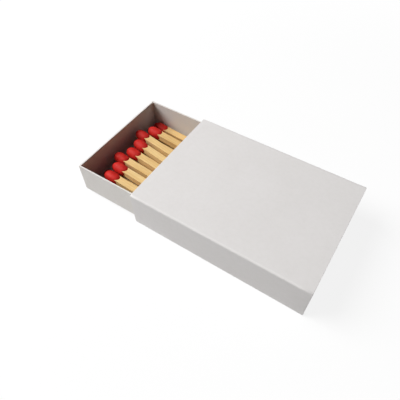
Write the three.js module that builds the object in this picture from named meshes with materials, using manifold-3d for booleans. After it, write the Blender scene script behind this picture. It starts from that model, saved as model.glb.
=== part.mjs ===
// A slide-out matchbox: a folded card sleeve, a folded card tray pulled part of the way out of it, and
// two rows of wooden matches that lie in the tray with their heads at its open end.
// Millimetres, +Z up. The origin is the centre of the sleeve's base, and the tray slides along X.
import * as THREE from "three";
import { mergeVertices } from "three/addons/utils/BufferGeometryUtils.js";
import Module from "manifold-3d";

const wasm = await Module();
wasm.setup();

// Sleeve: a strip of card folded four times and closed by a glue lap on the inside of its bottom.
const sleeveLength = 51;
const sleeveWidth = 36;
const sleeveHeight = 12;
const sleeveCard = 0.5; // thickness of the card
const sleeveFold = 0.15; // inner radius of a fold
const glueLap = 11; // how far the lap reaches across the bottom
const lapEdge = 0.4; // from the bottom panel's free edge to the face of the far side

// Tray: one sheet with a floor and four walls, each end wall held by two tabs glued to its outside.
const trayCard = 0.4;
const trayFold = 0.15;
const sidePlay = 0.45; // between the tray's side and the sleeve's
const floorPlay = 0.2; // under the tray, above the glue lap
const topPlay = 0.3; // above the tray's rim
const pulledOut = 19.7; // how far the tray stands out of the sleeve
const tabReach = 13; // from the tray's corner to the free edge of a tab
const tabDrop = 0.8; // from the rim down to a tab's top edge at the corner
const tabSlant = 1.2; // how much a tab narrows at its top and at its bottom

// Matches: square splints with an egg-shaped head that coats the end of the wood.
const splintWidth = 2.1;
const endRoom = 6.4; // how much longer the tray is inside than a match
const headCoat = 0.165; // head over the corners of the splint where it is thickest
const headFront = 2.3; // from the thickest place of the head to its tip
const headRear = 3.4; // from there to where its outline would close
const headShoulder = 3; // exponent of the rear outline: 2 is an ellipse, more is squarer
const cornerCoat = 0.05; // head over the corners of the splint's end, where it is thinnest
const socketGap = 0.03; // between a splint and the hole in its head

// How the matches lie. They lean down to their tails, because the heads are thicker than the wood.
const restGap = 0.1; // between pieces that rest on each other
const wallGap = 0.3; // between the last head of the lower row and the far wall
const headGap = 0.3; // between the heads of the lower row
const upperShort = 2; // the upper row has this many matches fewer than the lower one
// back is how far a head lies from the end wall, aside how far to the far side of its place in the row,
// and turn the angle about Z, which takes the tails to the near side when it is negative.
const lowerLie = [
  { back: 2.0, turn: -1.2 },
  { back: 1.4, turn: -1.5 },
  { back: 2.6, turn: -1.0 },
  { back: 1.8, turn: -2.0 },
  { back: 2.2, turn: -1.8 },
  { back: 1.5, turn: -2.2 },
  { back: 2.4, turn: -2.6 },
  { back: 2.0, turn: -2.4 },
  { back: 1.2, turn: -3.0 },
];
const upperLie = [
  { back: 4.0, aside: 0.0, turn: -2.7 },
  { back: 3.8, aside: 0.15, turn: -2.8 },
  { back: 1.5, aside: 0.0, turn: -3.4 },
  { back: 3.3, aside: 0.0, turn: -5.0 },
  { back: 3.0, aside: 0.2, turn: -7.0 },
  { back: 0.8, aside: 0.3, turn: -7.0 },
  { back: 3.1, aside: 0.15, turn: -3.6 },
];

const arcSteps = 4; // straight pieces in the quarter turn of a fold
const headSides = 16;
const headSteps = 5; // along the front and along the rear of a head
const quarter = Math.PI / 2;

const trayLength = sleeveLength;
const trayWidth = sleeveWidth - 2 * (sleeveCard + sidePlay);
const trayBottom = 2 * sleeveCard + floorPlay;
const trayHeight = sleeveHeight - sleeveCard - topPlay - trayBottom;
const trayEnd = -sleeveLength / 2 - pulledOut;
const trayFoldOut = trayFold + trayCard;
const endWall = 2 * trayCard; // a tab and the end wall behind it
const innerLength = trayLength - 2 * endWall;
const innerWidth = trayWidth - 2 * trayCard;
const floorTop = trayBottom + trayCard;

const matchLength = innerLength - endRoom;
const halfSplint = splintWidth / 2;
const headRadius = halfSplint * Math.SQRT2 + headCoat;
const tailFromHead = matchLength - headFront;
const socketCorner = (halfSplint + socketGap) * Math.SQRT2;
const socketStart = -headFront * Math.sqrt(1 - ((socketCorner + cornerCoat) / headRadius) ** 2);

const white = { color: 0xe4e2e0, roughness: 0.85, metalness: 0 };
const whiteTray = { color: 0xdcd8d2, roughness: 0.85, metalness: 0 };
const paleWood = { color: 0xe3c68c, roughness: 0.7, metalness: 0 };
const redHead = { color: 0xc8302c, roughness: 0.55, metalness: 0 };

// A closed geometry as a solid for joining and cutting.
function solidOf(geometry) {
  const bare = geometry.clone();
  bare.deleteAttribute("normal");
  bare.deleteAttribute("uv");
  const merged = mergeVertices(bare, 1e-4);
  const triVerts = [];
  for (let i = 0; i < merged.index.count; i += 3) {
    const [a, b, c] = [0, 1, 2].map((k) => merged.index.getX(i + k));
    if (a !== b && b !== c && c !== a) triVerts.push(a, b, c);
  }
  const vertProperties = merged.getAttribute("position").array;
  return new wasm.Manifold(
    new wasm.Mesh({ numProp: 3, vertProperties, triVerts: new Uint32Array(triVerts) }),
  );
}

function geometryOf(solid) {
  const mesh = solid.getMesh();
  const geometry = new THREE.BufferGeometry();
  geometry.setAttribute("position", new THREE.BufferAttribute(mesh.vertProperties, 3));
  geometry.setIndex(new THREE.BufferAttribute(mesh.triVerts, 1));
  geometry.computeVertexNormals();
  return geometry;
}

// Points of a circle's arc from angle a to angle b, both ends included.
function arc(x, y, radius, a, b) {
  const points = [];
  for (let i = 0; i <= arcSteps; i++) {
    const angle = a + ((b - a) * i) / arcSteps;
    points.push([x + radius * Math.cos(angle), y + radius * Math.sin(angle)]);
  }
  return points;
}

function shapeOf(points) {
  return new THREE.Shape(points.map(([x, y]) => new THREE.Vector2(x, y)));
}

function extruded(shape, depth) {
  return new THREE.ExtrudeGeometry(shape, { depth, bevelEnabled: false });
}

// A section drawn in Y and Z, carried along X from x = start.
function alongX(shape, start, length) {
  const turned = new THREE.Matrix4().makeBasis(
    new THREE.Vector3(0, 1, 0),
    new THREE.Vector3(0, 0, 1),
    new THREE.Vector3(1, 0, 0),
  );
  return extruded(shape, length).applyMatrix4(turned).translate(start, 0, 0);
}

// A section drawn in X and Z, carried along Y and centred on y = 0.
function alongY(shape, length) {
  return extruded(shape, length).rotateX(Math.PI / 2).translate(0, length / 2, 0);
}

// The sleeve's section in Y and Z. The far side is folded in at its foot and its lap lies on the bottom
// panel, whose own free edge ends under the lap's fold, just short of the far side's face.
function sleeveSection() {
  const half = sleeveWidth / 2;
  const card = sleeveCard;
  const outer = sleeveFold + card;
  const edgeAngle = Math.acos(1 - lapEdge / outer);
  const outline = [
    ...arc(-half + outer, outer, outer, 2 * quarter, 3 * quarter),
    [half - lapEdge, 0],
    ...arc(half - outer, card + outer, outer, -edgeAngle, 0),
    ...arc(half - outer, sleeveHeight - outer, outer, 0, quarter),
    ...arc(-half + outer, sleeveHeight - outer, outer, quarter, 2 * quarter),
  ];
  const inner = [
    ...arc(-half + outer, outer, sleeveFold, 2 * quarter, 3 * quarter),
    [half - glueLap, card],
    [half - glueLap, 2 * card],
    ...arc(half - outer, card + outer, sleeveFold, -quarter, 0),
    ...arc(half - outer, sleeveHeight - outer, sleeveFold, 0, quarter),
    ...arc(-half + outer, sleeveHeight - outer, sleeveFold, quarter, 2 * quarter),
  ];
  const shape = shapeOf(outline);
  shape.holes.push(shapeOf(inner));
  return shape;
}

function sleeve() {
  return alongX(sleeveSection(), -sleeveLength / 2, sleeveLength);
}

// One wall with its fold and a strip of floor: the wall's outer face lies at `face`, and `inward` is +1
// or -1 for the way to the middle of the tray.
function foldedWall(face, inward) {
  const card = trayCard;
  const out = trayFoldOut;
  const points = [
    [0, trayHeight],
    ...arc(out, out, out, 2 * quarter, 3 * quarter),
    [out + card, 0],
    [out + card, card],
    ...arc(out, out, trayFold, 3 * quarter, 2 * quarter),
    [card, trayHeight],
  ];
  return shapeOf(points.map(([across, up]) => [face + inward * across, up]));
}

// The upright fold that takes a side wall round the tray's corner into its tab, about its own centre.
function uprightFold() {
  const out = trayFoldOut;
  const points = [
    [-out, trayCard],
    ...arc(0, 0, out, 2 * quarter, 3 * quarter),
    [trayCard, -out],
    [trayCard, -trayFold],
    ...arc(0, 0, trayFold, 3 * quarter, 2 * quarter),
    [-trayFold, trayCard],
  ];
  return extruded(shapeOf(points), trayHeight - out);
}

// A tab's outline in Y and Z, on the near side (-1) or the far side (+1).
function tabOutline(side) {
  const corner = trayWidth / 2 - trayFoldOut - trayCard;
  const free = trayWidth / 2 - tabReach;
  return shapeOf([
    [side * corner, trayFoldOut],
    [side * free, trayFoldOut + tabSlant],
    [side * free, trayHeight - tabDrop - tabSlant],
    [side * corner, trayHeight - tabDrop],
  ]);
}

// The tray about its own middle, standing on z = 0.
function tray() {
  const halfLength = trayLength / 2;
  const halfWidth = trayWidth / 2;
  const out = trayFoldOut;
  const floorLength = trayLength - 2 * (trayCard + out);
  const floor = new THREE.BoxGeometry(floorLength, trayWidth - 2 * out, trayCard);
  floor.translate(0, 0, trayCard / 2);
  const pieces = [floor];
  for (const side of [-1, 1]) {
    pieces.push(alongX(foldedWall(side * halfWidth, -side), -floorLength / 2, floorLength));
    pieces.push(alongY(foldedWall(side * (halfLength - trayCard), -side), innerWidth));
    for (const end of [-1, 1]) {
      const face = end < 0 ? -halfLength : halfLength - trayCard;
      pieces.push(alongX(tabOutline(side), face, trayCard));
      const fold = uprightFold();
      if (end * side > 0) fold.rotateZ(end < 0 ? 0 : 2 * quarter);
      else fold.rotateZ(end < 0 ? -quarter : quarter);
      pieces.push(fold.translate(end * (halfLength - out), side * (halfWidth - out), out));
    }
  }
  return geometryOf(pieces.map(solidOf).reduce((whole, piece) => whole.add(piece)));
}

// A match lies along its own X, with the thickest place of its head at x = 0 and its tip at negative x.
function splint() {
  const start = socketStart + socketGap;
  const length = tailFromHead - start;
  return new THREE.BoxGeometry(length, splintWidth, splintWidth).translate(start + length / 2, 0, 0);
}

function head() {
  const profile = [];
  for (let i = 0; i < headSteps; i++) {
    const angle = (quarter * i) / headSteps;
    profile.push([headRadius * Math.sin(angle), -headFront * Math.cos(angle)]);
  }
  for (let i = 0; i <= headSteps; i++) {
    const angle = (quarter * i) / headSteps;
    const radius = headRadius * Math.cos(angle) ** (2 / headShoulder);
    profile.push([radius, headRear * Math.sin(angle) ** (2 / headShoulder)]);
  }
  profile[0][0] = 0;
  profile[profile.length - 1][0] = 0;
  const points = profile.map(([radius, along]) => new THREE.Vector2(radius, along));
  const egg = new THREE.LatheGeometry(points, headSides).rotateZ(-quarter);
  const hole = splintWidth + 2 * socketGap;
  const holeLength = 2 * headRear;
  const socket = new THREE.BoxGeometry(holeLength, hole, hole);
  socket.translate(socketStart + holeLength / 2, 0, 0);
  return geometryOf(solidOf(egg).subtract(solidOf(socket)));
}

function mesh(name, geometry, finish) {
  const piece = new THREE.Mesh(geometry, new THREE.MeshStandardMaterial(finish));
  piece.name = name;
  return piece;
}

// One match, its head's thickest place at the given point, leaning `drop` mm down to its tail.
function match(name, lie, y, z, drop) {
  const group = new THREE.Group();
  group.add(mesh(name + "_splint", splint(), paleWood));
  group.add(mesh(name + "_head", head(), redHead));
  group.position.set(trayEnd + endWall + lie.back + headFront, y, z);
  group.rotation.set(0, Math.asin(drop / tailFromHead), THREE.MathUtils.degToRad(lie.turn), "ZYX");
  return group;
}

// The lower row lies on the floor. Each match of the upper row lies in the valley between two heads, and
// its tail on the tails below. The last valley, by the far wall, is empty.
function matches() {
  const group = new THREE.Group();
  const step = 2 * headRadius + headGap;
  const farHead = innerWidth / 2 - wallGap - headRadius;
  const lowerCount = 1 + Math.floor((farHead + innerWidth / 2 - wallGap - headRadius) / step);
  const nearHead = farHead - (lowerCount - 1) * step;
  const lowerHeight = floorTop + restGap + headRadius;
  const lowerDrop = headRadius - halfSplint;
  for (let i = 0; i < lowerCount; i++) {
    const lie = lowerLie[i % lowerLie.length];
    group.add(match(`lower_match_${i + 1}`, lie, nearHead + i * step, lowerHeight, lowerDrop));
  }
  const tailHeight = lowerHeight - lowerDrop + splintWidth + restGap;
  for (let i = 0; i < lowerCount - upperShort; i++) {
    const lie = upperLie[i % upperLie.length];
    const across = step / 2 - lie.aside;
    const height = lowerHeight + Math.sqrt((2 * headRadius + restGap) ** 2 - across ** 2);
    const y = nearHead + (i + 0.5) * step + lie.aside;
    group.add(match(`upper_match_${i + 1}`, lie, y, height, height - tailHeight));
  }
  return group;
}

const matchbox = new THREE.Group();
matchbox.add(mesh("sleeve", sleeve(), white));
const drawer = mesh("tray", tray(), whiteTray);
drawer.position.set(trayEnd + trayLength / 2, 0, trayBottom);
matchbox.add(drawer);
matchbox.add(matches());

export default matchbox;
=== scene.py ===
import math
import random

import bmesh
import bpy
from mathutils import Matrix, Vector, noise


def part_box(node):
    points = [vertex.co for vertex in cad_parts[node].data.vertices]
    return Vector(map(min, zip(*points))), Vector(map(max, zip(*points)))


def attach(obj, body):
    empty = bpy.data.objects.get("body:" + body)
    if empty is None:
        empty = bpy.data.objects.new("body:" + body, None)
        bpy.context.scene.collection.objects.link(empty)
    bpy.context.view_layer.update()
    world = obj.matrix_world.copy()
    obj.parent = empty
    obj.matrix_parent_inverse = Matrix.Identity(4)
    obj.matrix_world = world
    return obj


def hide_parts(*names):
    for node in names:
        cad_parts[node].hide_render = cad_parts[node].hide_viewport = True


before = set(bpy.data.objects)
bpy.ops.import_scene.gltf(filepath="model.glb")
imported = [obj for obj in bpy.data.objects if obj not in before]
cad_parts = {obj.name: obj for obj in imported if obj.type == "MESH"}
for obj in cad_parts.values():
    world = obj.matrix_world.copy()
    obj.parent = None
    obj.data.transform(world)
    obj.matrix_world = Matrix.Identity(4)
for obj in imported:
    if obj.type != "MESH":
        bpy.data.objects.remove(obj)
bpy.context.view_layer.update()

mm = 0.001
random.seed(11)
noise.seed_set(11)  # else noise vectors differ from run to run
bpy.ops.object.select_all(action="DESELECT")


# small helpers for edit mode
def openForEdit(piece, mode="EDGE"):
    bpy.ops.object.select_all(action="DESELECT")
    piece.select_set(True)
    bpy.context.view_layer.objects.active = piece
    bpy.ops.object.mode_set(mode="EDIT")
    bpy.ops.mesh.select_mode(type=mode)
    bpy.ops.mesh.select_all(action="DESELECT")


def leaveEdit():
    bpy.ops.object.mode_set(mode="OBJECT")
    bpy.ops.object.select_all(action="DESELECT")


def pickEdges(piece, wanted):
    # wanted gets the two ends of an edge
    bpy.ops.mesh.select_all(action="DESELECT")
    shell = bmesh.from_edit_mesh(piece.data)
    count = 0
    for edge in shell.edges:
        if wanted(edge.verts[0].co, edge.verts[1].co):
            edge.select_set(True)
            count += 1
    bmesh.update_edit_mesh(piece.data)
    return count


def pull(x=0.0, y=0.0, z=0.0):
    # extrude what is selected
    bpy.ops.mesh.extrude_region_move(TRANSFORM_OT_translate={"value": (x, y, z)})


def cutAt(axis, place, snap=0.1 * mm):
    # one cut through the whole piece; points nearer than snap are used as they are
    normal = [0.0, 0.0, 0.0]
    normal[axis] = 1.0
    point = [0.0, 0.0, 0.0]
    point[axis] = place
    bpy.ops.mesh.select_all(action="SELECT")
    bpy.ops.mesh.bisect(plane_co=point, plane_no=normal, threshold=snap)


def cutEvery(axis, first, last, step):
    # parallel cuts through the whole piece, none within a fifth of a step of its end
    place = first + step
    while place < last - 0.2 * step:
        cutAt(axis, place)
        place += step


def near(a, b):
    # the same place, to a hundredth of a millimetre
    return abs(a - b) < 0.01 * mm


def addPlane(name, lowX, highX, lowY, highY, z):
    bpy.ops.object.select_all(action="DESELECT")
    middle = ((lowX + highX) / 2, (lowY + highY) / 2, z)
    bpy.ops.mesh.primitive_plane_add(size=1, location=middle)
    piece = bpy.context.active_object
    piece.name = name
    piece.scale = (highX - lowX, highY - lowY, 1)
    bpy.ops.object.transform_apply(location=True, rotation=True, scale=True)
    return piece


def applyModifier(piece, kind, **settings):
    bpy.ops.object.select_all(action="DESELECT")
    piece.select_set(True)
    bpy.context.view_layer.objects.active = piece
    modifier = piece.modifiers.new(kind.lower(), kind)
    for key, value in settings.items():
        setattr(modifier, key, value)
    bpy.ops.object.modifier_apply(modifier=modifier.name)


def softShading(piece, degrees):
    bpy.ops.object.select_all(action="DESELECT")
    piece.select_set(True)
    bpy.context.view_layer.objects.active = piece
    bpy.ops.object.shade_smooth_by_angle(angle=math.radians(degrees))
    applyModifier(piece, "WEIGHTED_NORMAL", keep_sharp=True, weight=80)
    piece.select_set(False)


def roundFold(width, steps):
    # turns the picked edges into folds
    bpy.ops.mesh.bevel(offset=width, offset_type="OFFSET", segments=steps, profile=0.5, affect="EDGES")


def faceOutward(piece):
    openForEdit(piece, "FACE")
    bpy.ops.mesh.select_all(action="SELECT")
    bpy.ops.mesh.normals_make_consistent(inside=False)
    leaveEdit()


# small helpers for materials
def tone(red, green, blue):
    # a screen colour, 0 to 1, as the linear colour that nodes take
    linear = [c / 12.92 if c <= 0.04045 else ((c + 0.055) / 1.055) ** 2.4 for c in (red, green, blue)]
    return (*linear, 1.0)


def newMaterial(name):
    material = bpy.data.materials.new(name)
    material.use_nodes = True
    return material, material.node_tree.nodes, material.node_tree.links


def noiseNode(nodes, links, vector, scale, detail=3.0, roughness=0.55):
    made = nodes.new("ShaderNodeTexNoise")
    made.inputs["Scale"].default_value = scale
    made.inputs["Detail"].default_value = detail
    made.inputs["Roughness"].default_value = roughness
    links.new(vector, made.inputs["Vector"])
    return made.outputs["Fac"]


def rampNode(nodes, links, factor, stops):
    made = nodes.new("ShaderNodeValToRGB")
    ramp = made.color_ramp
    ramp.elements[0].position, ramp.elements[0].color = stops[0]
    ramp.elements[1].position, ramp.elements[1].color = stops[-1]
    for place, colour in stops[1:-1]:
        ramp.elements.new(place).color = colour
    links.new(factor, made.inputs["Fac"])
    return made.outputs["Color"]


def fadeNode(nodes, links, factor, span, below, above):
    # one tone below the span of the factor, another above it
    return rampNode(nodes, links, factor, [(span[0], below), (span[1], above)])


def stretched(nodes, links, vector, scale, turn=0.0):
    made = nodes.new("ShaderNodeMapping")
    made.inputs["Scale"].default_value = scale
    made.inputs["Rotation"].default_value = (0.0, 0.0, turn)
    links.new(vector, made.inputs["Vector"])
    return made.outputs["Vector"]


def blendNode(nodes, links, kind, amount, first, second):
    made = nodes.new("ShaderNodeMix")
    made.data_type = "RGBA"
    made.blend_type = kind
    if isinstance(amount, float):
        made.inputs["Factor"].default_value = amount
    else:
        links.new(amount, made.inputs["Factor"])
    links.new(first, made.inputs["A"])
    links.new(second, made.inputs["B"])
    return made.outputs["Result"]


def bumpNode(nodes, links, height, strength, distance, under=None):
    made = nodes.new("ShaderNodeBump")
    made.inputs["Strength"].default_value = strength
    made.inputs["Distance"].default_value = distance
    links.new(height, made.inputs["Height"])
    if under is not None:
        links.new(under, made.inputs["Normal"])
    return made.outputs["Normal"]


# camera
view = {
    "place": (0.024839, -0.060679, 0.091069),
    "azimuth": 33.61,
    "elevation": 52.09,
    "roll": -0.75,
    "lens": 35.0,
    "sensor": 36.0,
}
camera = bpy.data.objects.new("camera", bpy.data.cameras.new("camera"))
bpy.context.scene.collection.objects.link(camera)
camera.data.lens = view["lens"]
camera.data.sensor_width = view["sensor"]
camera.data.clip_start = 0.005
camera.data.clip_end = 20.0
camera.matrix_world = (
    Matrix.Translation(view["place"])
    @ Matrix.Rotation(math.radians(view["azimuth"]), 4, "Z")
    @ Matrix.Rotation(math.radians(90 - view["elevation"]), 4, "X")
    @ Matrix.Rotation(math.radians(view["roll"]), 4, "Z")
)
bpy.context.scene.camera = camera
bpy.context.scene.view_settings.view_transform = "Standard"
print("camera placed")


# light, world and floor
light = {
    "from": (-0.66, -0.26, 0.70),  # the way to the soft key light
    "aimed": (-0.02, 0.0, 0.008),
    "away": 0.8,  # metres
    "across": 0.56,
    "power": 9.3,
    "sky": 0.05,
    "floorTone": 0.65,
    "floorGlow": 1.09,
    "glowShare": 0.8,
    "fadeFrom": 0.08,  # metres from the box: further out the floor shows plain white
    "fadeTo": 0.35,
    "floorReach": 4.0,
    "floorSides": 96,
}
key = bpy.data.objects.new("softKey", bpy.data.lights.new("softKey", "AREA"))
bpy.context.scene.collection.objects.link(key)
key.data.shape = "DISK"
key.data.size = light["across"]
key.data.energy = light["power"]
wayToKey = Vector(light["from"]).normalized()
key.location = Vector(light["aimed"]) + wayToKey * light["away"]
key.rotation_euler = wayToKey.to_track_quat("Z", "Y").to_euler()

world = bpy.data.worlds.new("studio")
bpy.context.scene.world = world
world.use_nodes = True


def seenWhite(nodes, links):
    # 1 for the rays that show the background itself, 0 for those that light the object
    path = nodes.new("ShaderNodeLightPath")
    first = nodes.new("ShaderNodeMath")
    second = nodes.new("ShaderNodeMath")
    first.operation = second.operation = "MAXIMUM"
    links.new(path.outputs["Is Camera Ray"], first.inputs[0])
    links.new(path.outputs["Is Glossy Ray"], first.inputs[1])
    links.new(first.outputs[0], second.inputs[0])
    links.new(path.outputs["Is Transmission Ray"], second.inputs[1])
    return second.outputs[0]


def buildSky():
    nodes, links = world.node_tree.nodes, world.node_tree.links
    nodes.clear()
    dim = nodes.new("ShaderNodeBackground")
    bright = nodes.new("ShaderNodeBackground")
    dim.inputs["Color"].default_value = bright.inputs["Color"].default_value = (1, 1, 1, 1)
    dim.inputs["Strength"].default_value = light["sky"]
    bright.inputs["Strength"].default_value = 1.0
    mix = nodes.new("ShaderNodeMixShader")
    links.new(seenWhite(nodes, links), mix.inputs["Fac"])
    links.new(dim.outputs[0], mix.inputs[1])
    links.new(bright.outputs[0], mix.inputs[2])
    links.new(mix.outputs[0], nodes.new("ShaderNodeOutputWorld").inputs["Surface"])


def buildFloor():
    bpy.ops.mesh.primitive_circle_add(
        vertices=light["floorSides"], radius=light["floorReach"], fill_type="NGON", location=(0, 0, 0)
    )
    floor = bpy.context.active_object
    floor.name = "floor"
    material, nodes, links = newMaterial("paleFloor")
    nodes.clear()
    plain = nodes.new("ShaderNodeBsdfDiffuse")
    plain.inputs["Color"].default_value = (light["floorTone"],) * 3 + (1.0,)
    glow = nodes.new("ShaderNodeEmission")
    glow.inputs["Strength"].default_value = light["floorGlow"]
    away = nodes.new("ShaderNodeVectorMath")
    away.operation = "LENGTH"
    links.new(nodes.new("ShaderNodeTexCoord").outputs["Object"], away.inputs[0])
    fade = nodes.new("ShaderNodeMapRange")
    fade.interpolation_type = "SMOOTHSTEP"
    fade.inputs["From Min"].default_value = light["fadeFrom"]
    fade.inputs["From Max"].default_value = light["fadeTo"]
    fade.inputs["To Min"].default_value = light["glowShare"]
    fade.inputs["To Max"].default_value = 1.0
    links.new(away.outputs["Value"], fade.inputs["Value"])
    share = nodes.new("ShaderNodeMath")
    share.operation = "MULTIPLY"
    links.new(fade.outputs["Result"], share.inputs[1])
    links.new(seenWhite(nodes, links), share.inputs[0])
    mix = nodes.new("ShaderNodeMixShader")
    links.new(share.outputs[0], mix.inputs["Fac"])
    links.new(plain.outputs[0], mix.inputs[1])
    links.new(glow.outputs[0], mix.inputs[2])
    links.new(mix.outputs[0], nodes.new("ShaderNodeOutputMaterial").inputs["Surface"])
    floor.data.materials.append(material)
    floor.select_set(False)


buildSky()
buildFloor()
print("light, sky and floor ready")


# white folding board
cardFinish = {
    "roughness": 0.8,
    "specular": 0.12,
    "cloudScale": 90.0,  # broad mottling, about 1 cm
    "cloudSpan": (0.3, 0.7),  # where the noise turns from one tone to the other
    "fleckScale": 900.0,  # pulp, about 1 mm
    "fleckSpan": (0.25, 0.6),
    "fleckAmount": 0.4,
    "fleckTone": (0.93, 0.93, 0.92, 1),
    "fibreScale": 1500.0,
    "fibreStretch": (1.0, 5.0, 5.0),
    "fibreTurn": 0.3,
    "fleckBump": (0.25, 0.06 * mm),  # strength and depth
    "fibreBump": (0.3, 0.03 * mm),
}
plainWhite = (1, 1, 1, 1)


def buildCard(name, bright, dull, shift):
    finish = cardFinish
    material, nodes, links = newMaterial(name)
    shader = nodes["Principled BSDF"]
    shader.inputs["Roughness"].default_value = finish["roughness"]
    shader.inputs["Specular IOR Level"].default_value = finish["specular"]
    shifted = nodes.new("ShaderNodeMapping")
    shifted.inputs["Location"].default_value = (shift, 0.5 * shift, 0.2 * shift)
    links.new(nodes.new("ShaderNodeTexCoord").outputs["Object"], shifted.inputs["Vector"])
    place = shifted.outputs["Vector"]
    cloudy = noiseNode(nodes, links, place, finish["cloudScale"])
    flecks = noiseNode(nodes, links, place, finish["fleckScale"], detail=4.0, roughness=0.65)
    along = stretched(nodes, links, place, finish["fibreStretch"], finish["fibreTurn"])
    fibres = noiseNode(nodes, links, along, finish["fibreScale"])
    base = fadeNode(nodes, links, cloudy, finish["cloudSpan"], dull, bright)
    fleckTone = fadeNode(nodes, links, flecks, finish["fleckSpan"], finish["fleckTone"], plainWhite)
    colour = blendNode(nodes, links, "MULTIPLY", finish["fleckAmount"], base, fleckTone)
    links.new(colour, shader.inputs["Base Color"])
    soft = bumpNode(nodes, links, flecks, *finish["fleckBump"])
    links.new(bumpNode(nodes, links, fibres, *finish["fibreBump"], soft), shader.inputs["Normal"])
    return material


sleeveCard = buildCard("sleeveCard", tone(0.90, 0.889, 0.884), tone(0.89, 0.878, 0.872), 0.3)
trayCard = buildCard("trayCard", tone(0.90, 0.887, 0.872), tone(0.885, 0.868, 0.85), 1.7)


# pale sawn wood of the splints
woodFinish = {
    "roughness": 0.75,
    "specular": 0.06,
    "stretch": (0.05, 1.0, 1.0),  # the grain runs along X of the match
    "bandScale": 1300.0,
    "threadScale": 5200.0,
    "patchScale": 60.0,
    "tones": [
        (0.3, tone(0.92, 0.775, 0.53)),
        (0.5, tone(0.94, 0.81, 0.575)),
        (0.72, tone(0.95, 0.84, 0.62)),
    ],
    "threadTone": tone(0.80, 0.68, 0.5),
    "threadSpan": (0.32, 0.55),
    "threadAmount": 0.3,
    "patchTone": tone(0.92, 0.88, 0.82),
    "patchSpan": (0.3, 0.7),
    "patchAmount": 0.8,
    "threadBump": (0.5, 0.05 * mm),
}


def buildWood():
    finish = woodFinish
    material, nodes, links = newMaterial("paleSplint")
    shader = nodes["Principled BSDF"]
    shader.inputs["Roughness"].default_value = finish["roughness"]
    shader.inputs["Specular IOR Level"].default_value = finish["specular"]
    grain = nodes.new("ShaderNodeAttribute")
    grain.attribute_name = "grain"  # the place in the match's own frame
    along = stretched(nodes, links, grain.outputs["Vector"], finish["stretch"])
    bands = noiseNode(nodes, links, along, finish["bandScale"], roughness=0.5)
    threads = noiseNode(nodes, links, along, finish["threadScale"], detail=4.0, roughness=0.65)
    patches = noiseNode(nodes, links, grain.outputs["Vector"], finish["patchScale"], detail=2.0)
    base = rampNode(nodes, links, bands, finish["tones"])
    dark = fadeNode(nodes, links, threads, finish["threadSpan"], finish["threadTone"], plainWhite)
    shade = fadeNode(nodes, links, patches, finish["patchSpan"], finish["patchTone"], plainWhite)
    colour = blendNode(nodes, links, "MULTIPLY", finish["threadAmount"], base, dark)
    colour = blendNode(nodes, links, "MULTIPLY", finish["patchAmount"], colour, shade)
    links.new(colour, shader.inputs["Base Color"])
    links.new(bumpNode(nodes, links, threads, *finish["threadBump"]), shader.inputs["Normal"])
    return material


paleSplint = buildWood()


# dull red composition of the heads
redFinish = {
    "roughness": 0.6,
    "specular": 0.2,
    "lumpScale": 700.0,
    "gritScale": 4200.0,
    "tones": [
        (0.3, tone(0.76, 0.12, 0.095)),
        (0.55, tone(0.795, 0.145, 0.115)),
        (0.75, tone(0.83, 0.18, 0.15)),
    ],
    "gritTone": tone(0.84, 0.8, 0.8),
    "gritSpan": (0.3, 0.55),
    "gritAmount": 0.6,
    "thinTones": [(0.0, tone(0.93, 0.9, 0.88)), (0.08, tone(0.97, 0.96, 0.95)), (0.2, plainWhite)],
    "lumpBump": (0.35, 0.3 * mm),
    "gritBump": (0.35, 0.06 * mm),
}


def buildRed():
    finish = redFinish
    material, nodes, links = newMaterial("redHead")
    shader = nodes["Principled BSDF"]
    shader.inputs["Roughness"].default_value = finish["roughness"]
    shader.inputs["Specular IOR Level"].default_value = finish["specular"]
    place = nodes.new("ShaderNodeTexCoord").outputs["Object"]
    depth = nodes.new("ShaderNodeAttribute")
    depth.attribute_name = "coatDepth"  # millimetres of coat over the wood
    grit = noiseNode(nodes, links, place, finish["gritScale"], roughness=0.6)
    lumps = noiseNode(nodes, links, place, finish["lumpScale"])
    red = rampNode(nodes, links, lumps, finish["tones"])
    specks = fadeNode(nodes, links, grit, finish["gritSpan"], finish["gritTone"], plainWhite)
    thin = rampNode(nodes, links, depth.outputs["Fac"], finish["thinTones"])
    colour = blendNode(nodes, links, "MULTIPLY", finish["gritAmount"], red, specks)
    colour = blendNode(nodes, links, "MULTIPLY", 1.0, colour, thin)
    links.new(colour, shader.inputs["Base Color"])
    soft = bumpNode(nodes, links, lumps, *finish["lumpBump"])
    links.new(bumpNode(nodes, links, grit, *finish["gritBump"], soft), shader.inputs["Normal"])
    return material


redHead = buildRed()
print("materials ready")


# sleeve: a strip of card, folded four times, closed by a glue lap inside its bottom
sleeveLook = {
    "card": 0.5 * mm,
    "fold": 0.54 * mm,  # outer radius of a fold
    "glueLap": 11.0 * mm,
    "lapEdge": 0.4 * mm,
    "glue": 0.02 * mm,
    "foldSteps": 7,
    "cuts": (3.0 * mm, 3.0 * mm, 3.0 * mm),  # how finely each panel is cut so that it can bow
    "bow": 0.10 * mm,  # how far the panels stray from flat
    "bowScale": 45.0,  # of the noise that bows them: a wave every 22 mm or so
    "bowSeed": 3.0,
    "cutRound": 0.06 * mm,
}


def bowSheet(piece, low, high, look):
    # cuts the sheet into small faces and bows it softly, most in the middle of a panel
    for axis, step in enumerate(look["cuts"]):
        cutEvery(axis, low[axis], high[axis], step)
    bpy.ops.mesh.select_all(action="SELECT")
    bpy.ops.mesh.normals_make_consistent(inside=False)
    leaveEdit()
    for point in piece.data.vertices:
        shift = noise.noise_vector(Vector(point.co) * look["bowScale"] + Vector((look["bowSeed"], 0, 0)))
        side = [(point.co[k] - low[k]) / (high[k] - low[k]) for k in range(3)]
        middle = [math.sin(math.pi * min(max(s, 0.0), 1.0)) for s in side]
        point.co.z += look["bow"] * shift.z * middle[1]
        point.co.y += look["bow"] * shift.y * middle[2]


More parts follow.
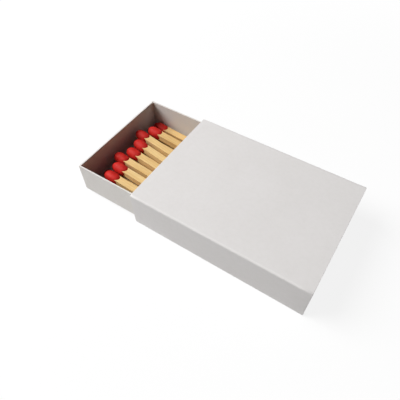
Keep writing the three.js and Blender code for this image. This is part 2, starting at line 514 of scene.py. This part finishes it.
def thickenSheet(piece, look, clamped):
    # gives the sheet the thickness of its card and rounds its cut edges
    applyModifier(piece, "SOLIDIFY", thickness=look["card"], offset=-1.0, use_even_offset=True)
    applyModifier(
        piece, "BEVEL", width=look["cutRound"], segments=2, limit_method="ANGLE",
        angle_limit=math.radians(50), use_clamp_overlap=clamped,
    )
    faceOutward(piece)
    softShading(piece, degrees=40)


def buildSleeve():
    look = sleeveLook
    low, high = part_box("sleeve")
    lapHeight = low.z + look["card"] + look["glue"]
    piece = addPlane("sleeve_board", low.x, high.x, high.y - look["glueLap"], high.y, lapHeight)
    openForEdit(piece)
    pickEdges(piece, lambda a, b: near(a.y, high.y) and near(b.y, high.y))
    pull(z=high.z - lapHeight)  # far side
    pull(y=low.y - high.y)  # top
    pull(z=low.z - high.z)  # near side
    pull(y=high.y - look["lapEdge"] - low.y)  # bottom
    folds = [(high.y, lapHeight), (high.y, high.z), (low.y, high.z), (low.y, low.z)]

    def isFold(a, b):
        return any(near(a.y, y) and near(b.y, y) and near(a.z, z) and near(b.z, z) for y, z in folds)

    pickEdges(piece, isFold)
    roundFold(look["fold"], look["foldSteps"])
    bowSheet(piece, low, high, look)
    thickenSheet(piece, look, clamped=True)
    piece.data.materials.clear()
    piece.data.materials.append(sleeveCard)
    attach(piece, "sleeve")
    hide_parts("sleeve")
    return piece


sleeveBoard = buildSleeve()
print("sleeve folded", len(sleeveBoard.data.polygons))


# tray: one sheet, floor and four walls, each end wall held by two tabs glued to its outside
trayLook = {
    "card": 0.4 * mm,
    "fold": 0.55 * mm,
    "cornerFold": 0.43 * mm,  # a little over the card, so the inside stays round
    "relief": 0.06 * mm,  # width of the small notch by each corner of the floor
    "notchLong": 1.15,  # its length, times the fold
    "wallShort": 0.1 * mm,  # how far the side folds end before the end walls
    "tabReach": 13.0 * mm,
    "tabDrop": 0.8 * mm,
    "tabSlant": 1.2 * mm,
    "slit": 0.02 * mm,  # between an end wall and a side wall, and between a tab and its end wall
    "foldSteps": 6,
    "cornerSteps": 4,
    "cuts": (3.0 * mm, 3.0 * mm, 2.5 * mm),
    "bow": 0.07 * mm,
    "bowScale": 45.0,
    "bowSeed": 9.0,
    "cutRound": 0.028 * mm,
}


def raiseSides(piece, low, high):
    pickEdges(piece, lambda a, b: near(a.y, b.y))
    pull(z=high.z - low.z)
    pickEdges(piece, lambda a, b: near(a.z, low.z) and near(b.z, low.z) and near(a.y, b.y))
    roundFold(trayLook["fold"], trayLook["foldSteps"])


def cutNotches(piece, low, high, flapSide, x, way):
    # a notch on both sides of the floor's end at x, and the side folds ended a little before it
    notchStart = x - way * trayLook["notchLong"] * trayLook["fold"]
    cutAt(0, notchStart)
    bpy.ops.mesh.select_all(action="DESELECT")
    shell = bmesh.from_edit_mesh(piece.data)
    for face in shell.faces:
        middle = face.calc_center_median()
        beside = flapSide < abs(middle.y) < high.y - trayLook["fold"]
        if beside and (middle.x - notchStart) * way > 0 and near(middle.z, low.z):
            face.select_set(True)
    bmesh.update_edit_mesh(piece.data)
    bpy.ops.mesh.delete(type="FACE")
    shell = bmesh.from_edit_mesh(piece.data)
    for point in shell.verts:
        if near(point.co.x, x) and abs(point.co.y) > flapSide + trayLook["relief"] / 2:
            point.co.x -= way * trayLook["wallShort"]
    bmesh.update_edit_mesh(piece.data)


def raiseEnds(piece, low, high, flapSide, ends):
    def isFloorEnd(a, b):
        atEnd = any(near(a.x, x) for x, way in ends)
        return atEnd and near(a.x, b.x) and near(a.z, low.z) and near(b.z, low.z)

    pickEdges(piece, isFloorEnd)
    pull(z=high.z - low.z)
    wallTop = high.y - trayLook["card"] - trayLook["slit"]
    shell = bmesh.from_edit_mesh(piece.data)
    for point in shell.verts:
        atEnd = any(near(point.co.x, x) for x, way in ends)
        if atEnd and near(point.co.z, high.z) and near(abs(point.co.y), flapSide):
            point.co.y = math.copysign(wallTop, point.co.y)
    bmesh.update_edit_mesh(piece.data)
    pickEdges(piece, isFloorEnd)
    roundFold(trayLook["fold"], trayLook["foldSteps"])


def pickUpright(piece, x, y):
    # the tall edge that stands at x and y
    def stands(a, b):
        inPlace = near(a.x, x) and near(b.x, x) and near(a.y, y) and near(b.y, y)
        return inPlace and abs(a.z - b.z) > 2 * mm

    pickEdges(piece, stands)


def foldTab(piece, low, high, x, way, y, side):
    # carries a side wall round the corner, across the outside of the end wall at x
    look, fold = trayLook, trayLook["fold"]
    pastEnd = look["card"] + look["slit"]
    pastCorner = fold * 1.5
    halfway = (low.z + high.z) / 2
    pickUpright(piece, x - way * look["wallShort"], y)
    pull(x=way * (look["wallShort"] + pastEnd))
    pull(y=-side * pastCorner)
    pull(y=-side * (look["tabReach"] - pastCorner))
    shell = bmesh.from_edit_mesh(piece.data)
    for point in shell.verts:
        inward = abs(point.co.y - y)
        if near(abs(point.co.x - x), pastEnd) and inward > fold and point.co.y * side > 0:
            sloped = look["tabSlant"] if inward > 2 * fold else 0.0  # only the far end is slanted
            if point.co.z > halfway:
                point.co.z = high.z - look["tabDrop"] - sloped
            else:
                point.co.z += sloped
    bmesh.update_edit_mesh(piece.data)
    pickUpright(piece, x + way * pastEnd, y)
    roundFold(look["cornerFold"], look["cornerSteps"])


def buildTray():
    look = trayLook
    low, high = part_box("tray")
    ends = ((low.x + look["card"], -1), (high.x - look["card"], 1))  # outside of each end wall, and its way
    piece = addPlane("tray_board", ends[0][0], ends[1][0], low.y, high.y, low.z)
    openForEdit(piece)
    raiseSides(piece, low, high)
    flapSide = high.y - look["fold"] - look["relief"]
    cutAt(1, -flapSide, snap=0.01 * mm)
    cutAt(1, flapSide, snap=0.01 * mm)
    for x, way in ends:
        cutNotches(piece, low, high, flapSide, x, way)
    raiseEnds(piece, low, high, flapSide, ends)
    for x, way in ends:
        for y, side in ((low.y, -1), (high.y, 1)):
            foldTab(piece, low, high, x, way, y, side)
    bowSheet(piece, low, high, look)
    thickenSheet(piece, look, clamped=False)
    piece.data.materials.clear()
    piece.data.materials.append(trayCard)
    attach(piece, "tray")
    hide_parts("tray")
    return piece


trayBoard = buildTray()
print("tray folded", len(trayBoard.data.polygons))


# matches: modelled once along X, with the thickest place of the head at the origin
matchLook = {
    "wide": 2.1 * mm,
    "long": 43.0 * mm,
    "headCoat": 0.165 * mm,
    "headFront": 2.3 * mm,
    "headRear": 3.4 * mm,
    "headShoulder": 3.0,
    "woodStart": -0.645 * mm,  # from the head's thickest place back into the head
    "edgeRound": 0.05 * mm,
    "tailRound": 0.04 * mm,
    "cutLong": 0.9 * mm,
    "cutAcross": 0.7 * mm,
    "headSides": 40,
    "headSteps": 12,
    "sawn": 0.035 * mm,  # unevenness of the wood
    "sawnAlong": 260,  # scales of its noise, along the match and across it
    "sawnAcross": 900,
    "sawnSlow": 60,  # scale of its slow bends
    "sawnFrom": 1.5 * mm,  # the wood under the coat stays even
    "tailSkin": 0.1 * mm,
    "lump": 0.05 * mm,  # unevenness of the heads
    "lumpScale": 750,
    "lumpFine": 1900,
    "seedReach": 50,  # each match takes its own place in the noise
    "lean": 0.07,  # slant of a head's rear edge, as a share of its length
    "leanSpread": 0.05,
    "leanUp": 0.04,
}
halfWide = matchLook["wide"] / 2
headRadius = halfWide * math.sqrt(2) + matchLook["headCoat"]
tailFromHead = matchLook["long"] - matchLook["headFront"]


def buildSplint():
    start = matchLook["woodStart"]
    length = tailFromHead - start
    bpy.ops.object.select_all(action="DESELECT")
    bpy.ops.mesh.primitive_cube_add(size=1, location=(start + length / 2, 0, 0))
    piece = bpy.context.active_object
    piece.name = "splint"
    piece.scale = (length, matchLook["wide"], matchLook["wide"])
    bpy.ops.object.transform_apply(location=True, rotation=True, scale=True)
    openForEdit(piece)
    pickEdges(piece, lambda a, b: abs(a.x - b.x) > mm)
    bpy.ops.mesh.bevel(offset=matchLook["edgeRound"], segments=2, affect="EDGES")
    pickEdges(piece, lambda a, b: near(a.x, tailFromHead) and near(b.x, tailFromHead))
    bpy.ops.mesh.bevel(offset=matchLook["tailRound"], segments=1, affect="EDGES")
    cutEvery(0, start, tailFromHead, matchLook["cutLong"])
    cutEvery(1, -halfWide, halfWide, matchLook["cutAcross"])
    cutEvery(2, -halfWide, halfWide, matchLook["cutAcross"])
    leaveEdit()
    return piece


def buildHead():
    front, rear, steps = matchLook["headFront"], matchLook["headRear"], matchLook["headSteps"]
    outline = []
    for step in range(steps):
        angle = math.pi / 2 * step / steps
        outline.append((-front * math.cos(angle), headRadius * math.sin(angle)))
    for step in range(steps + 1):
        angle = math.pi / 2 * step / steps
        power = 2 / matchLook["headShoulder"]
        outline.append((rear * math.sin(angle) ** power, headRadius * math.cos(angle) ** power))
    outline[-1] = (rear, 0.0)
    bpy.ops.object.select_all(action="DESELECT")
    bpy.ops.mesh.primitive_plane_add(size=mm, location=(0, 0, 0))
    piece = bpy.context.active_object
    piece.name = "head"
    openForEdit(piece, "VERT")
    bpy.ops.mesh.select_all(action="SELECT")
    bpy.ops.mesh.merge(type="CENTER")
    bpy.ops.transform.translate(value=(outline[0][0], 0, 0))
    for here, there in zip(outline, outline[1:]):
        pull(x=there[0] - here[0], z=there[1] - here[1])
    bpy.ops.mesh.select_all(action="SELECT")
    bpy.ops.mesh.spin(
        steps=matchLook["headSides"], angle=2 * math.pi, center=(0, 0, 0), axis=(1, 0, 0)
    )
    bpy.ops.mesh.select_all(action="SELECT")
    bpy.ops.mesh.remove_doubles(threshold=0.002 * mm)
    bpy.ops.mesh.normals_make_consistent(inside=False)
    leaveEdit()
    return piece


def placeOf(node):
    # where a match lies: its frame, with X from head to tail, read from its splint in the frame
    points = sorted((Vector(p.co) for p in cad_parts[node].data.vertices), key=lambda p: p.x)
    endPart = 0.2 * (points[-1].x - points[0].x)
    headEnd = [p for p in points if p.x < points[0].x + endPart]
    tailEnd = [p for p in points if p.x > points[-1].x - endPart]
    headMiddle = sum(headEnd, Vector()) / len(headEnd)
    tailMiddle = sum(tailEnd, Vector()) / len(tailEnd)
    along = (tailMiddle - headMiddle).normalized()
    across = Vector((0, 0, 1)).cross(along).normalized()
    up = along.cross(across)
    turned = Matrix((along, across, up)).transposed().to_4x4()
    return Matrix.Translation(tailMiddle - along * tailFromHead) @ turned


def copyOf(model, name):
    piece = model.copy()
    piece.data = model.data.copy()
    piece.name = name
    bpy.context.scene.collection.objects.link(piece)
    return piece


def roughenWood(wood, seed):
    # the uneven faces of sawn wood, and the place along the match that its grain follows
    sawn, along, across = matchLook["sawn"], matchLook["sawnAlong"], matchLook["sawnAcross"]
    grain = wood.data.attributes.new("grain", "FLOAT_VECTOR", "POINT")
    for index, point in enumerate(wood.data.vertices):
        grain.data[index].vector = point.co + seed
        place = Vector((point.co.x * along, point.co.y * across, point.co.z * across))
        rough = noise.noise_vector(place + seed)
        slow = noise.noise_vector(Vector((point.co.x * matchLook["sawnSlow"], 0, 0)) + seed)
        if point.co.x > matchLook["sawnFrom"]:
            point.co.y += sawn * (0.5 * rough.y + slow.y)
            point.co.z += sawn * (0.5 * rough.z + slow.z)
        if point.co.x > tailFromHead - matchLook["tailSkin"]:
            point.co.x += sawn * 2 * (rough.x - 1.0)


def roughenTip(tip, seed):
    # the slanted rear edge and the lumps of a dipped head, and how thick its coat lies on the wood
    depth = tip.data.attributes.new("coatDepth", "FLOAT", "POINT")
    leanAside = matchLook["lean"] + random.uniform(-matchLook["leanSpread"], matchLook["leanSpread"])
    leanUp = random.uniform(-matchLook["leanUp"], matchLook["leanUp"])
    for index, point in enumerate(tip.data.vertices):
        if point.co.x > 0:
            point.co.x *= 1 + (leanAside * point.co.y + leanUp * point.co.z) / headRadius
        over = math.hypot(max(abs(point.co.y) - halfWide, 0), max(abs(point.co.z) - halfWide, 0))
        depth.data[index].value = over / mm if point.co.x > 0 else 1.0
        broad = noise.noise(point.co * matchLook["lumpScale"] + seed)
        fine = noise.noise(point.co * matchLook["lumpFine"] + seed)
        point.co += point.co.normalized() * matchLook["lump"] * (broad + 0.5 * fine)


def layMatch(match):
    place = placeOf(match + "_splint")
    reach = matchLook["seedReach"]
    seed = Vector([random.uniform(-reach, reach) for _ in range(3)])
    wood = copyOf(splintModel, match + "_wood")
    roughenWood(wood, seed)
    wood.data.transform(place)
    wood.data.materials.append(paleSplint)
    softShading(wood, degrees=40)

    tip = copyOf(headModel, match + "_tip")
    roughenTip(tip, seed)
    tip.data.transform(place)
    tip.data.materials.append(redHead)
    softShading(tip, degrees=60)

    for piece, node, slot in ((wood, "_splint", "splint_wood"), (tip, "_head", "match_head")):
        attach(piece, "tray")
        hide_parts(match + node)


splintModel = buildSplint()
headModel = buildHead()
matchNames = sorted(name[: -len("_splint")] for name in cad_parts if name.endswith("_splint"))
for matchName in matchNames:
    layMatch(matchName)
bpy.data.objects.remove(splintModel)
bpy.data.objects.remove(headModel)
print("matches laid", len(matchNames))
